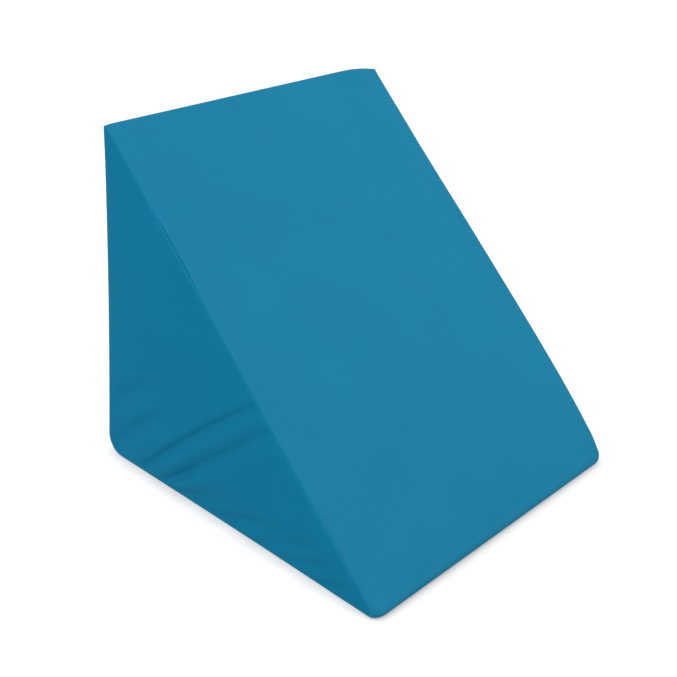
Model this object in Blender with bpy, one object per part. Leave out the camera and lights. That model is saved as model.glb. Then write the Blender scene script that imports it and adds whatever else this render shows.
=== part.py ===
"""A wedge positioning pillow, standing on its base.

It is a firm, filled wedge in a smooth cloth cover. One long wrap panel runs over the slope, round the sharp
ridge, down the back, round the soft heel, under the base and back to the toe. A triangular side panel closes
each end. Units are metres. X runs across the pillow, the toe points to -Y, the back to +Y, and Z is up.
The wrap panel and its filling are one solid. Each side panel is a sheet that follows the filled end.
"""

import math
from collections import namedtuple

import bmesh
import bpy
from mathutils import Matrix, Vector

# Driving sizes
WIDTH = 0.500  # between the two side seams, at the corners
DEPTH = 0.480  # from the rounded toe to the back
HEIGHT = 0.460  # from the base to the ridge
TOE_RADIUS = 0.0065
HEEL_RADIUS = 0.028
RIDGE_RADIUS = 0.0025

PANEL_THICKNESS = 0.002
GAP = 0.0003  # between a side panel and the filled end that it lies on
PRESSED_FLAT = 0.0001  # what lies lower than this is pressed flat on the ground by the pillow's weight

# How the filling pushes the cover out, and how the seams pull it in
SWELL_POWER = 2.4  # higher, so that a swell or a pull keeps further from the ends of its edge
SIDE_CROWN = 0.011  # of each side panel, at its middle
CROWN_POWER = 0.55  # under 1, so that the crown rises steeply beside a seam
SLOPE_CROWN = 0.004
BACK_CROWN = 0.005
SEAM_DIP = 0.0035  # how deep the side seams lie below the wrap panel
SEAM_TURN = 0.016  # how far from a side seam the wrap panel starts to turn down to it
SLOPE_SWELL = 0.0075  # the slope is fullest low down
SLOPE_SWELL_AT = 0.30  # as a share of the slope, from the toe
SEAM_SWELL = {-1: -0.004, 1: 0.009}  # the same at the left seam, which is pulled tight, and at the right one
SWELL_WIDTH = 0.150  # how far from a side seam the slope reaches its full swell
BASE_KEEP = 0.015  # the swell starts this far above the base, which stays flat
DIMPLE_DEPTH = 0.0025  # a shallow hollow low on the slope
DIMPLE_AT = (-0.066, 0.173)  # across, and up the slope from the toe
DIMPLE_RADIUS = 0.045

# How far the middle of each seam is drawn in, and where along it that is deepest
Seam = namedtuple("Seam", "draw_in at")
SEAMS = {
    -1: {"slope": Seam(0.0020, 0.62), "back": Seam(0.0030, 0.50), "base": Seam(0.0020, 0.50)},
    1: {"slope": Seam(0.0070, 0.66), "back": Seam(0.0030, 0.50), "base": Seam(0.0020, 0.50)},
}
SEAM_REACH = 0.050  # how far into a side panel that pull is felt

# Corners that aren't square: the left ones are crisp, and the right ones are rounder
Corner = namedtuple("Corner", "toe_pull toe_reach ridge_drop ridge_reach")
CORNERS = {
    -1: Corner(toe_pull=0.005, toe_reach=0.012, ridge_drop=0.001, ridge_reach=0.02),
    1: Corner(toe_pull=0.015, toe_reach=0.022, ridge_drop=0.009, ridge_reach=0.06),
}
TOE_PULL_FADE = 0.030
RIDGE_DROP_FADE = 0.050

# Folds pressed into the side panels: each runs from one point (y, z) to another, bows sideways by `bow`,
# sinks by `depth` and pushes up a lip below it
Fold = namedtuple("Fold", "start end bow half_width depth lip")
LEFT_FOLDS = {
    "heel crease": Fold((0.168, 0.010), (-0.036, 0.195), 0.006, 0.0070, 0.0045, 0.0030),
    "second crease": Fold((0.134, 0.010), (-0.060, 0.169), -0.004, 0.0070, 0.0040, 0.0025),
    "back fold": Fold((0.223, 0.077), (0.139, 0.151), 0.003, 0.0120, 0.0030, 0.0010),
    "heel fold": Fold((0.215, 0.022), (0.127, 0.106), 0.003, 0.0120, 0.0030, 0.0010),
    "base tuck": Fold((0.087, 0.014), (0.017, 0.034), 0.002, 0.0090, 0.0020, 0.0010),
    "front fold": Fold((0.007, 0.014), (-0.091, 0.062), 0.003, 0.0085, 0.0025, 0.0015),
    "toe fold": Fold((-0.052, 0.012), (-0.140, 0.050), 0.002, 0.0080, 0.0020, 0.0012),
}
RIGHT_FOLDS = {
    "heel crease": Fold((0.150, 0.014), (-0.010, 0.150), 0.005, 0.0085, 0.0035, 0.0020),
    "back fold": Fold((0.222, 0.110), (0.130, 0.190), 0.003, 0.0120, 0.0030, 0.0010),
    "front fold": Fold((0.040, 0.016), (-0.070, 0.080), -0.003, 0.0090, 0.0025, 0.0015),
}
END_FOLDS = {-1: LEFT_FOLDS, 1: RIGHT_FOLDS}
LIP_SHIFT = 1.7  # in half widths, from the bottom of the fold to the top of its lip
LIP_WIDTH = 1.4
FOLD_END_STRENGTH = 0.08  # how far along its own rise and fall a fold is where it starts
FOLD_SEAM_CLEARANCE = 0.014  # folds die out this far from a seam

# How finely the cover is divided
GRID_STEPS = 22  # along each edge of a side panel
RIM_CROWDING = 0.5  # how much closer together the steps are at a rim
RIM_BAND = 0.009  # the width of the row of faces beside the slope's seam
WRAP_COLUMNS = (0.0, 0.26, 0.52, 0.74, 0.88, 0.944, 0.972, 0.990, 1.0)  # from the middle to a seam
CORNER_REFINING = (0.010, 0.002)  # edges this near to a corner's round are halved, once for each number
FOLD_CUTS = (-3.0, -1.9, -1.1, -0.5, 0.0, 0.5, 1.2)  # lines along a fold, in half widths above it
FOLD_BAND = 3.5  # the faces that those lines cut, in half widths to either side
SNAP = 1e-5

# The wedge's section, as a triangle in (y, z) with its three edges
BACK_Y = DEPTH / 2
HALF_SLOPE_TANGENT = (
    math.sqrt((DEPTH - TOE_RADIUS) ** 2 + HEIGHT * (HEIGHT - 2 * TOE_RADIUS)) - (DEPTH - TOE_RADIUS)
) / HEIGHT
SLOPE_ANGLE = 2 * math.atan(HALF_SLOPE_TANGENT)
TOE_Y = BACK_Y - HEIGHT / math.tan(SLOPE_ANGLE)  # where the slope would meet the base, were it sharp
SLOPE_LENGTH = HEIGHT / math.sin(SLOPE_ANGLE)
SLOPE_NORMAL = Vector((-math.sin(SLOPE_ANGLE), math.cos(SLOPE_ANGLE)))
BACK_NORMAL = Vector((1.0, 0.0))
BASE_NORMAL = Vector((0.0, -1.0))
CORNER_BLEND = 0.008  # how softly the outward direction turns at a corner
SectionCorner = namedtuple("SectionCorner", "tip radius normals")
SECTION_CORNERS = (
    SectionCorner(Vector((TOE_Y, 0.0)), TOE_RADIUS, (BASE_NORMAL, SLOPE_NORMAL)),
    SectionCorner(Vector((BACK_Y, HEIGHT)), RIDGE_RADIUS, (SLOPE_NORMAL, BACK_NORMAL)),
    SectionCorner(Vector((BACK_Y, 0.0)), HEEL_RADIUS, (BACK_NORMAL, BASE_NORMAL)),
)


def rounded(point):
    """Moves a point (y, z) of the sharp triangle so that the triangle's corners become round."""
    for corner in SECTION_CORNERS:
        first, second = corner.normals
        half_cosine = math.cos(first.angle(second) / 2)
        centre = corner.tip - (first + second).normalized() * corner.radius / half_cosine
        off = point - centre
        square = first.cross(second)
        within = off.cross(second) * square > 0 and first.cross(off) * square > 0
        if within:
            return centre + off * max(off.dot(first), off.dot(second)) / off.length
    return point


def edge_distances(point):
    """How far a point (y, z) lies inside the slope, the back and the base."""
    slope = -SLOPE_NORMAL.dot(point - Vector((TOE_Y, 0.0)))
    return {"slope": max(slope, 0.0), "back": max(BACK_Y - point.x, 0.0), "base": max(point.y, 0.0)}


def edge_shares(point):
    """How far along each edge a point lies, from 0 to 1: the slope from the toe, the rest from the heel."""
    slope = (point - Vector((TOE_Y, 0.0))).dot(Vector((math.cos(SLOPE_ANGLE), math.sin(SLOPE_ANGLE))))
    along = {
        "slope": slope / SLOPE_LENGTH,
        "back": point.y / HEIGHT,
        "base": (BACK_Y - point.x) / (BACK_Y - TOE_Y),
    }
    return {edge: min(max(share, 0.0), 1.0) for edge, share in along.items()}


def swell(share, at):
    """A smooth rise from 0 at both ends of an edge to 1 at the share `at`."""
    return (share / at) ** (SWELL_POWER * at) * ((1.0 - share) / (1.0 - at)) ** (SWELL_POWER * (1.0 - at))


def outward(point):
    """The direction in (y, z) that faces out of the section at a point near its outline."""
    distances = edge_distances(point)
    normals = {"slope": SLOPE_NORMAL, "back": BACK_NORMAL, "base": BASE_NORMAL}
    total = Vector((0.0, 0.0))
    for edge, normal in normals.items():
        total += math.exp(-distances[edge] / CORNER_BLEND) * normal
    return total.normalized()


def corner_bend(side, near_end):
    """How far one side's corners pull the toe back and the ridge down, `near_end` metres from that side."""
    corner = CORNERS[side]
    toe = max(1.0 - near_end / corner.toe_reach, 0.0)
    ridge = max(1.0 - near_end / corner.ridge_reach, 0.0)
    return corner.toe_pull * (1.0 - math.sqrt(1.0 - toe * toe)), corner.ridge_drop * ridge * ridge


def bent_section(point, across):
    """Moves a point (y, z) of the section for its place across the pillow, from -1 at the left seam to 1."""
    distances = edge_distances(point)
    shares = edge_shares(point)
    side = 1 if across > 0 else -1
    near_end = (1.0 - abs(across)) * WIDTH / 2
    beside_seam = max(1.0 - near_end / SWELL_WIDTH, 0.0) ** 2
    most = SLOPE_SWELL + (SEAM_SWELL[side] - SLOPE_SWELL) * beside_seam
    above_base = 1.0 - math.exp(-((distances["base"] / BASE_KEEP) ** 2))
    lift = most * swell(shares["slope"], SLOPE_SWELL_AT) * math.exp(-distances["slope"] / SEAM_REACH)
    moved = point + above_base * lift * SLOPE_NORMAL
    toe_pull, ridge_drop = corner_bend(side, near_end)
    from_toe = (point - Vector((TOE_Y, 0.0))).length
    from_ridge = (point - Vector((BACK_Y, HEIGHT))).length
    moved.x += toe_pull * math.exp(-max(from_toe - 2 * TOE_RADIUS, 0.0) / TOE_PULL_FADE)
    moved.y -= above_base * ridge_drop * math.exp(-from_ridge / RIDGE_DROP_FADE)
    return moved


def above_fold(fold):
    """The direction in (y, z) that points straight off a fold, upwards."""
    run = Vector(fold.end) - Vector(fold.start)
    above = Vector((-run.y, run.x)).normalized()
    return above if above.y > 0 else -above


def segment_place(point, fold):
    """Where a point lies beside a fold: the share along it, how far above it, and how far past its end."""
    start = Vector(fold.start)
    run = Vector(fold.end) - start
    share = (point - start).dot(run) / run.length_squared
    clamped = min(max(share, 0.0), 1.0)
    off = (point - start - clamped * run).dot(above_fold(fold)) - fold.bow * math.sin(math.pi * clamped)
    past_end = abs(share - clamped) * run.length
    return clamped, off, past_end


def fold_relief(point, folds):
    """How far the folds push a side panel out (or in, if negative) at a point (y, z)."""
    total = 0.0
    for fold in folds.values():
        share, off, past_end = segment_place(point, fold)
        along = FOLD_END_STRENGTH + (1.0 - 2 * FOLD_END_STRENGTH) * share
        strength = math.sqrt(math.sin(math.pi * along)) * math.exp(-past_end / fold.half_width)
        trough = math.exp(-((off / fold.half_width) ** 2))
        lip_off = off + LIP_SHIFT * fold.half_width
        lip = math.exp(-((lip_off / (LIP_WIDTH * fold.half_width)) ** 2))
        total += strength * (fold.lip * lip - fold.depth * trough)
    nearest = min(edge_distances(point).values())
    fade = min(nearest / FOLD_SEAM_CLEARANCE, 1.0)
    return total * fade * fade * (3.0 - 2.0 * fade)


def side_reach(point, side):
    """How far out, from the pillow's middle plane, a side panel's outer surface lies at a point (y, z)."""
    distances = edge_distances(point)
    shares = edge_shares(point)
    reach = WIDTH / 2
    for edge, seam in SEAMS[side].items():
        reach -= seam.draw_in * swell(shares[edge], seam.at) * math.exp(-distances[edge] / SEAM_REACH)
    heights = {"slope": HEIGHT * math.cos(SLOPE_ANGLE), "back": BACK_Y - TOE_Y, "base": HEIGHT}
    bubble = 1.0
    for edge, height in heights.items():
        bubble *= 3 * distances[edge] / height  # at the middle of a triangle, each distance is a third
    return reach + SIDE_CROWN * bubble**CROWN_POWER + fold_relief(point, END_FOLDS[side])


def add_side_patch(bm, folds, x):
    """A flat triangle at X = x with round corners, divided finely near its rim and cut along its folds."""
    others = set(bm.faces)
    bmesh.ops.create_grid(bm, x_segments=GRID_STEPS, y_segments=GRID_STEPS, size=0.5)
    for vert in patch_parts(bm, others)["verts"]:
        across, up = vert.co.x + 0.5, vert.co.y + 0.5
        vert.co = Vector((x, TOE_Y + (BACK_Y - TOE_Y) * nearer_ends(across), HEIGHT * nearer_ends(up)))
    slope_foot = Vector((TOE_Y, 0.0))
    cut(bm, patch_parts(bm, others), x, slope_foot, SLOPE_NORMAL, clear_outer=True)
    cut(bm, patch_parts(bm, others), x, slope_foot - RIM_BAND * SLOPE_NORMAL, SLOPE_NORMAL)
    for margin in CORNER_REFINING:
        halve_near_corners(bm, others, margin)
    for fold in folds.values():
        above = above_fold(fold)
        for offset in FOLD_CUTS:
            line = Vector(fold.start) + offset * fold.half_width * above
            cut(bm, patch_parts(bm, others, lambda face: beside_fold(face, fold)), x, line, above)
    patch = patch_parts(bm, others)
    for vert in patch["verts"]:
        point = rounded(Vector((vert.co.y, vert.co.z)))
        vert.co = Vector((x, point.x, point.y))
    bmesh.ops.triangulate(bm, faces=patch["faces"])


def nearer_ends(share):
    """Spreads evenly spaced shares so that they lie closer together near 0 and 1."""
    return share - RIM_CROWDING * math.sin(2 * math.pi * share) / (2 * math.pi)


def patch_parts(bm, others, wanted=lambda face: True):
    """The wanted faces that aren't among others, with their edges and points."""
    faces = [face for face in bm.faces if face not in others and wanted(face)]
    edges = {edge: None for face in faces for edge in face.edges}
    verts = {vert: None for face in faces for vert in face.verts}
    return {"faces": faces, "edges": list(edges), "verts": list(verts)}


def cut(bm, parts, x, point, normal, clear_outer=False):
    """Cuts flat faces along the line through a point (y, z) with this normal."""
    geometry = [*parts["verts"], *parts["edges"], *parts["faces"]]
    bmesh.ops.bisect_plane(
        bm, geom=geometry, dist=SNAP, plane_co=(x, *point), plane_no=(0.0, *normal), clear_outer=clear_outer
    )


def halve_near_corners(bm, others, margin):
    """Halves the edges near each corner, so that its round has enough points."""
    near = []
    for edge in patch_parts(bm, others)["edges"]:
        middle = (edge.verts[0].co + edge.verts[1].co) / 2
        point = Vector((middle.y, middle.z))
        if any((point - corner.tip).length < corner.radius + margin for corner in SECTION_CORNERS):
            near.append(edge)
    bmesh.ops.subdivide_edges(bm, edges=near, cuts=1, use_grid_fill=True)


def beside_fold(face, fold):
    """Whether a face lies in the band that a fold marks, clear of the rim."""
    if any(len(edge.link_faces) == 1 for edge in face.edges):
        return False
    middle = face.calc_center_median()
    _, off, past_end = segment_place(Vector((middle.y, middle.z)), fold)
    return abs(off) < FOLD_BAND * fold.half_width and past_end < fold.half_width


def place_side(vert, side, inset):
    """Gives a point of a flat patch its place at one end, `inset` inside the side panel's outer surface."""
    point = Vector((vert.co.y, vert.co.z))
    nearest = min(edge_distances(point).values())
    moved = bent_section(point, side) - outward(point) * SEAM_DIP * math.exp(-nearest / SEAM_REACH)
    vert.co = Vector((side * (side_reach(point, side) - inset), moved.x, moved.y))


def place_wrap(vert, across, x):
    """Places a point of the wrap panel: across runs from -1 at the left seam to 1, and x is its X."""
    point = Vector((vert.co.y, vert.co.z))
    distances = edge_distances(point)
    shares = edge_shares(point)
    edge = min(distances, key=distances.get)
    turn = max(1.0 - (1.0 - abs(across)) * WIDTH / 2 / SEAM_TURN, 0.0)
    dip = SEAM_DIP * (1.0 - math.sqrt(1.0 - turn * turn))
    moved = bent_section(point, across) - outward(point) * dip
    middle = 1.0 - across * across
    if edge == "slope":
        up_slope = shares["slope"] * SLOPE_LENGTH
        off = math.hypot(across * WIDTH / 2 - DIMPLE_AT[0], up_slope - DIMPLE_AT[1])
        dimple = DIMPLE_DEPTH * math.exp(-((off / DIMPLE_RADIUS) ** 2))
        moved += SLOPE_NORMAL * (SLOPE_CROWN * middle * swell(shares["slope"], 0.5) - dimple)
    if edge == "back":
        moved += BACK_NORMAL * BACK_CROWN * middle * swell(shares["back"], 0.5)
    vert.co = Vector((x, moved.x, moved.y))


def open_edges(bm):
    return [edge for edge in bm.edges if len(edge.link_faces) == 1]


def wrap_cushion():
    """The wrap panel with its filling: two filled ends, bridged by the wrap panel."""
    bm = bmesh.new()
    for side, folds in END_FOLDS.items():
        add_side_patch(bm, folds, side)
    bridged = bmesh.ops.bridge_loops(bm, edges=open_edges(bm))
    long_edges = [edge for edge in bridged["edges"] if abs(edge.verts[0].co.x - edge.verts[1].co.x) > 1.0]
    columns = len(WRAP_COLUMNS) - 1
    bmesh.ops.subdivide_edges(bm, edges=long_edges, cuts=2 * columns - 1, use_grid_fill=True)
    inset = PANEL_THICKNESS + GAP
    for vert in bm.verts:
        side = 1 if vert.co.x > 0 else -1
        column = round(abs(vert.co.x) * columns)
        if column == columns:
            place_side(vert, side, inset)
        else:
            point = Vector((vert.co.y, vert.co.z))
            across = WRAP_COLUMNS[column]
            place_wrap(vert, side * across, side * across * (side_reach(point, side) - inset))
    return finished(bm, "wrap_cushion")


def side_panel(name, side):
    """A side panel: a sheet's outer face, made at X = 0, and its inner one at 1, joined round their rims."""
    bm = bmesh.new()
    add_side_patch(bm, END_FOLDS[side], 0.0)
    add_side_patch(bm, END_FOLDS[side], 1.0)
    bmesh.ops.bridge_loops(bm, edges=open_edges(bm))
    for vert in bm.verts:
        place_side(vert, side, vert.co.x * PANEL_THICKNESS)
    return finished(bm, name)


def finished(bm, name):
    """An object of the mesh, in triangles that face out, shaded smooth."""
    bmesh.ops.triangulate(bm, faces=bm.faces)
    bmesh.ops.recalc_face_normals(bm, faces=bm.faces)
    mesh = bpy.data.meshes.new(name)
    bm.to_mesh(mesh)
    bm.free()
    mesh.shade_smooth()
    obj = bpy.data.objects.new(name, mesh)
    bpy.context.scene.collection.objects.link(obj)
    return obj


def cover_material(name, colour, roughness):
    material = bpy.data.materials.new(name)
    material.use_nodes = True
    shader = material.node_tree.nodes["Principled BSDF"]
    shader.inputs["Base Color"].default_value = (*colour, 1.0)
    shader.inputs["Roughness"].default_value = roughness
    shader.inputs["Metallic"].default_value = 0.0
    return material


def stand_on_origin(objects):
    """Moves the meshes to put the middle of the whole box's underside at the origin, and presses it flat."""
    corners = [vert.co for obj in objects for vert in obj.data.vertices]
    low = Vector([min(corner[axis] for corner in corners) for axis in range(3)])
    high = Vector([max(corner[axis] for corner in corners) for axis in range(3)])
    shift = Vector((-(low.x + high.x) / 2, -(low.y + high.y) / 2, -low.z))
    for obj in objects:
        obj.data.transform(Matrix.Translation(shift))
        for vert in obj.data.vertices:
            if vert.co.z < PRESSED_FLAT:
                vert.co.z = 0.0


for leftover in list(bpy.data.objects):
    bpy.data.objects.remove(leftover, do_unlink=True)

cushion = wrap_cushion()
left_panel = side_panel("side_panel_left", -1)
right_panel = side_panel("side_panel_right", 1)
stand_on_origin([cushion, left_panel, right_panel])

cushion.data.materials.append(cover_material("wrap_cloth", (0.018, 0.223, 0.381), 0.55))
left_panel.data.materials.append(cover_material("left_panel_cloth", (0.016, 0.205, 0.355), 0.55))
right_panel.data.materials.append(cover_material("right_panel_cloth", (0.016, 0.205, 0.355), 0.55))
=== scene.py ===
# %% [markdown]
# # A wedge positioning pillow
#
# This lesson dresses a plain solid wedge as a sewn pillow. The real thing is a block of firm foam in a
# smooth, coated cloth cover. One long panel wraps over the slope, round the ridge, down the back and under
# the base, and a triangle of the same cloth closes each end. We build those three cut pieces: the wrap
# panel with its filling as one padded cushion, and the two triangles as thin sheets stretched over its
# ends.

# %% Load the frame
import math
from collections import namedtuple

import bmesh
import bpy
import numpy as np
from mathutils import Matrix, Vector


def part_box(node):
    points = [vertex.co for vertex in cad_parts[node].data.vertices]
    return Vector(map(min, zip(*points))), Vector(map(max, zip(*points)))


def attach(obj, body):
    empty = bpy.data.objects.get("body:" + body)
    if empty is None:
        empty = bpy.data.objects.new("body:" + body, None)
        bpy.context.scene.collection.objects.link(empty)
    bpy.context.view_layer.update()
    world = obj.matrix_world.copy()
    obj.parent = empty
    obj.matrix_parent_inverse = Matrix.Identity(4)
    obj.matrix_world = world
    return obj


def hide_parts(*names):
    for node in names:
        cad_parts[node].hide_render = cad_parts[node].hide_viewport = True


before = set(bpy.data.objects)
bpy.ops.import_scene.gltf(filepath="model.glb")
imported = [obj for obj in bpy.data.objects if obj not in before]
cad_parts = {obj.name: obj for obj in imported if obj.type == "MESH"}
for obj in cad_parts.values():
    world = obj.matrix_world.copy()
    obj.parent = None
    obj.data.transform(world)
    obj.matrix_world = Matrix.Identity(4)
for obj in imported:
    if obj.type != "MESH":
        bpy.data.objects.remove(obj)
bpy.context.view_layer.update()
scene = bpy.context.scene

# %% [markdown]
# ## The camera
#
# The pillow is seen from its front left, from above, and the camera is tilted a little about its own view
# line. A camera's direction could be set with a Track To constraint, but three turns in a row are easier to
# read: first the lens is tipped down, then the whole camera is turned to its compass bearing, and last it
# rolls.

# %% Camera
IMAGE_SIDE = 677  # pixels, both ways
FOCAL_PIXELS = 1201.9
SENSOR = 36.0
CAMERA_PLACE = Vector((-1.1105, -0.8615, 0.9159))
BEARING = math.radians(50.47)  # clockwise from +Y, seen from above
DOWN = math.radians(27.72)
ROLL = math.radians(4.93)

camera_data = bpy.data.cameras.new("photo_view")
camera_data.sensor_width = SENSOR
camera_data.lens = FOCAL_PIXELS / IMAGE_SIDE * SENSOR
camera = bpy.data.objects.new("photo_view", camera_data)
turned = Matrix.Rotation(-BEARING, 4, "Z") @ Matrix.Rotation(math.pi / 2 - DOWN, 4, "X")
camera.matrix_world = Matrix.Translation(CAMERA_PLACE) @ turned @ Matrix.Rotation(ROLL, 4, "Z")
scene.collection.objects.link(camera)
scene.camera = camera
print("lens", round(camera_data.lens, 1), "mm")

# %% [markdown]
# ## The section of the wedge
#
# Seen from the side, the pillow is a right-angled triangle with three different corners: a rounded toe, a
# sharp ridge and a soft heel. Every piece starts as a flat triangle in Y and Z, so we write the section
# once, as functions that take whole arrays of points. Bevel would leave long thin faces at the corners.
# The function rounded instead pulls each line of points that runs parallel to the edges onto an arc, so
# rows of faces that follow an edge also follow its corners.

# %% Section sizes
WIDTH = 0.500
DEPTH = 0.480
HEIGHT = 0.460
TOE_RADIUS = 0.0065
HEEL_RADIUS = 0.028
RIDGE_RADIUS = 0.0025

BACK = DEPTH / 2
TO_TOE_ARC = DEPTH - TOE_RADIUS  # from the back to the middle of the toe's arc
RIDGE_TO_ARC = math.hypot(TO_TOE_ARC, math.sqrt(HEIGHT * (HEIGHT - 2 * TOE_RADIUS)))  # a line that touches it
SLOPE_ANGLE = 2 * math.atan((RIDGE_TO_ARC - TO_TOE_ARC) / HEIGHT)
TOE = BACK - HEIGHT / math.tan(SLOPE_ANGLE)
SLOPE_LENGTH = HEIGHT / math.sin(SLOPE_ANGLE)
UP_SLOPE = np.array([math.cos(SLOPE_ANGLE), math.sin(SLOPE_ANGLE)])
OUT = {
    "slope": np.array([-UP_SLOPE[1], UP_SLOPE[0]]),
    "back": np.array([1.0, 0.0]),
    "base": np.array([0.0, -1.0]),
}
INRADIUS = (BACK - TOE + HEIGHT - SLOPE_LENGTH) / 2
INCENTRE = np.array([BACK - INRADIUS, INRADIUS])
TIPS = {"toe": np.array([TOE, 0.0]), "ridge": np.array([BACK, HEIGHT]), "heel": np.array([BACK, 0.0])}
SectionCorner = namedtuple("SectionCorner", "tip radius edges")
CORNERS = (
    SectionCorner(TIPS["toe"], TOE_RADIUS, ("base", "slope")),
    SectionCorner(TIPS["ridge"], RIDGE_RADIUS, ("slope", "back")),
    SectionCorner(TIPS["heel"], HEEL_RADIUS, ("back", "base")),
)
print("slope", round(math.degrees(SLOPE_ANGLE), 1), "degrees,", round(SLOPE_LENGTH, 3), "m long")


# %% Section functions
def edge_distances(flat):
    """How far flat points (y, z) lie inside each edge."""
    inside = {
        "slope": (TIPS["toe"] - flat) @ OUT["slope"],
        "back": BACK - flat[:, 0],
        "base": flat[:, 1],
    }
    return {edge: np.maximum(value, 0.0) for edge, value in inside.items()}


def rim_distance(flat):
    """How far flat points lie inside the nearest edge."""
    return np.minimum.reduce(list(edge_distances(flat).values()))


def edge_shares(flat):
    """How far along each edge points lie, from 0 to 1: the slope from the toe, the others from the heel."""
    along = {
        "slope": (flat - TIPS["toe"]) @ UP_SLOPE / SLOPE_LENGTH,
        "back": flat[:, 1] / HEIGHT,
        "base": (BACK - flat[:, 0]) / (BACK - TOE),
    }
    return {edge: np.clip(share, 0.0, 1.0) for edge, share in along.items()}


def rounded(flat):
    """The flat points with the triangle's corners made round."""
    result = flat.copy()
    for corner in CORNERS:
        first, second = (OUT[edge] for edge in corner.edges)
        bisector = (first + second) / np.linalg.norm(first + second)
        centre = corner.tip - bisector * corner.radius / (bisector @ first)
        off = flat - centre
        square = np.cross(first, second)
        within = (np.cross(off, second) * square > 0) & (np.cross(first, off) * square > 0)
        reach = np.maximum(off @ first, off @ second)[within]
        size = np.linalg.norm(off[within], axis=1)
        result[within] = centre + off[within] * (reach / size)[:, None]
    return result


def inset(flat, depth):
    """Flat points moved towards the middle, so that each edge stays parallel to itself at this depth."""
    return INCENTRE + (flat - INCENTRE) * (1 - depth / INRADIUS)[:, None]


def swell(share, at):
    """A smooth rise from 0 at both ends of an edge to 1 at the share `at`."""
    steepness = 2.4
    return (share / at) ** (steepness * at) * ((1 - share) / (1 - at)) ** (steepness * (1 - at))


def outward(flat):
    """The direction (y, z) that faces out of the section near its outline."""
    softness = 0.008
    distances = edge_distances(flat)
    total = sum(np.exp(-distances[edge] / softness)[:, None] * OUT[edge] for edge in OUT)
    return total / np.linalg.norm(total, axis=1)[:, None]


# %% [markdown]
# ## The pillow's own shape
#
# Firm foam pushes the cover out, and the seams pull it in. The slope is fullest low down, the side seams
# are drawn in along their middles, the toe and the ridge turn in at the corners, and each end is crowned.
# Nearly all these sizes are the solid model's own, so the dressed pieces lie where the solids are. Three
# follow the photograph a little more closely: the right seam, the right end of the ridge and the left
# corner of the toe.

# %% Form of the filled cover
SLOPE_SWELL, SLOPE_SWELL_AT = 0.0075, 0.30
SEAM_SWELL, SWELL_WIDTH = {-1: -0.004, 1: 0.009}, 0.150
BASE_KEEP = 0.015
SIDE_CROWN, CROWN_POWER, CROWN_START = 0.011, 0.55, 0.006
SEAM_REACH = 0.050
Seam = namedtuple("Seam", "draw_in at")
SEAMS = {
    -1: {"slope": Seam(0.0020, 0.62), "back": Seam(0.0030, 0.50), "base": Seam(0.0020, 0.50)},
    1: {"slope": Seam(0.0088, 0.72), "back": Seam(0.0030, 0.50), "base": Seam(0.0020, 0.50)},
}
PillowCorner = namedtuple("PillowCorner", "toe_pull toe_reach ridge_drop ridge_reach")
LEFT_CORNER = PillowCorner(toe_pull=0.011, toe_reach=0.018, ridge_drop=0.001, ridge_reach=0.02)
RIGHT_CORNER = PillowCorner(toe_pull=0.015, toe_reach=0.022, ridge_drop=0.009, ridge_reach=0.075)
TOE_PULL_FADE, RIDGE_DROP_FADE = 0.030, 0.050


def bent_section(flat, across):
    """Section points moved for their place across the pillow: across runs from -1 at the left seam to 1."""
    distances, shares = edge_distances(flat), edge_shares(flat)
    near_end = (1 - np.abs(across)) * WIDTH / 2
    at_seam = np.where(across > 0, SEAM_SWELL[1], SEAM_SWELL[-1])
    most = SLOPE_SWELL + (at_seam - SLOPE_SWELL) * np.maximum(1 - near_end / SWELL_WIDTH, 0) ** 2
    above_base = 1 - np.exp(-((distances["base"] / BASE_KEEP) ** 2))
    lift = most * swell(shares["slope"], SLOPE_SWELL_AT) * np.exp(-distances["slope"] / SEAM_REACH)
    moved = flat + (above_base * lift)[:, None] * OUT["slope"]
    from_toe = np.linalg.norm(flat - TIPS["toe"], axis=1)
    from_ridge = np.linalg.norm(flat - TIPS["ridge"], axis=1)
    for side, corner in ((-1, LEFT_CORNER), (1, RIGHT_CORNER)):
        here = across * side > 0
        toe = np.maximum(1 - near_end / corner.toe_reach, 0)
        ridge = np.maximum(1 - near_end / corner.ridge_reach, 0)
        behind_toe = np.maximum(from_toe - 2 * TOE_RADIUS, 0)
        pull = corner.toe_pull * (1 - np.sqrt(1 - toe**2)) * np.exp(-behind_toe / TOE_PULL_FADE)
        moved[:, 0] += np.where(here, pull, 0)
        drop = corner.ridge_drop * above_base * ridge**2 * np.exp(-from_ridge / RIDGE_DROP_FADE)
        moved[:, 1] -= np.where(here, drop, 0)
    return moved


def seam_reach(flat, across):
    """How far from the middle plane the side seams lie, and the ends where no crown or fold moves them."""
    distances, shares = edge_distances(flat), edge_shares(flat)
    reach = np.full(len(flat), WIDTH / 2)
    for side, seams in SEAMS.items():
        here = across * side > 0
        for edge, seam in seams.items():
            pull = seam.draw_in * swell(shares[edge], seam.at) * np.exp(-distances[edge] / SEAM_REACH)
            reach -= np.where(here, pull, 0)
    return reach


def end_crown(flat):
    """How far the filling pushes an end out between its three seams."""
    distances = edge_distances(flat)
    heights = {"slope": HEIGHT * math.cos(SLOPE_ANGLE), "back": BACK - TOE, "base": HEIGHT}
    bubble = np.ones(len(flat))
    for edge, height in heights.items():
        bubble *= 3 * distances[edge] / height
    return SIDE_CROWN * bubble**CROWN_POWER * (1 - np.exp(-rim_distance(flat) / CROWN_START))


# %% [markdown]
# ## How the cover turns at its seams
#
# The side seams lie on the pillow's long edges, and the cover rolls round each edge as part of a circle.
# Low on the slope that roll is wide and the seam in it hardly shows. Higher up it is tight, the seam lies
# near its top as a short dark groove, and at the ridge it ends in a sharp tip. So we write the roll's
# radius, the place of the seam on it and the depth of the groove as a few values along each edge, and blend
# them where two edges meet.

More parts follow.
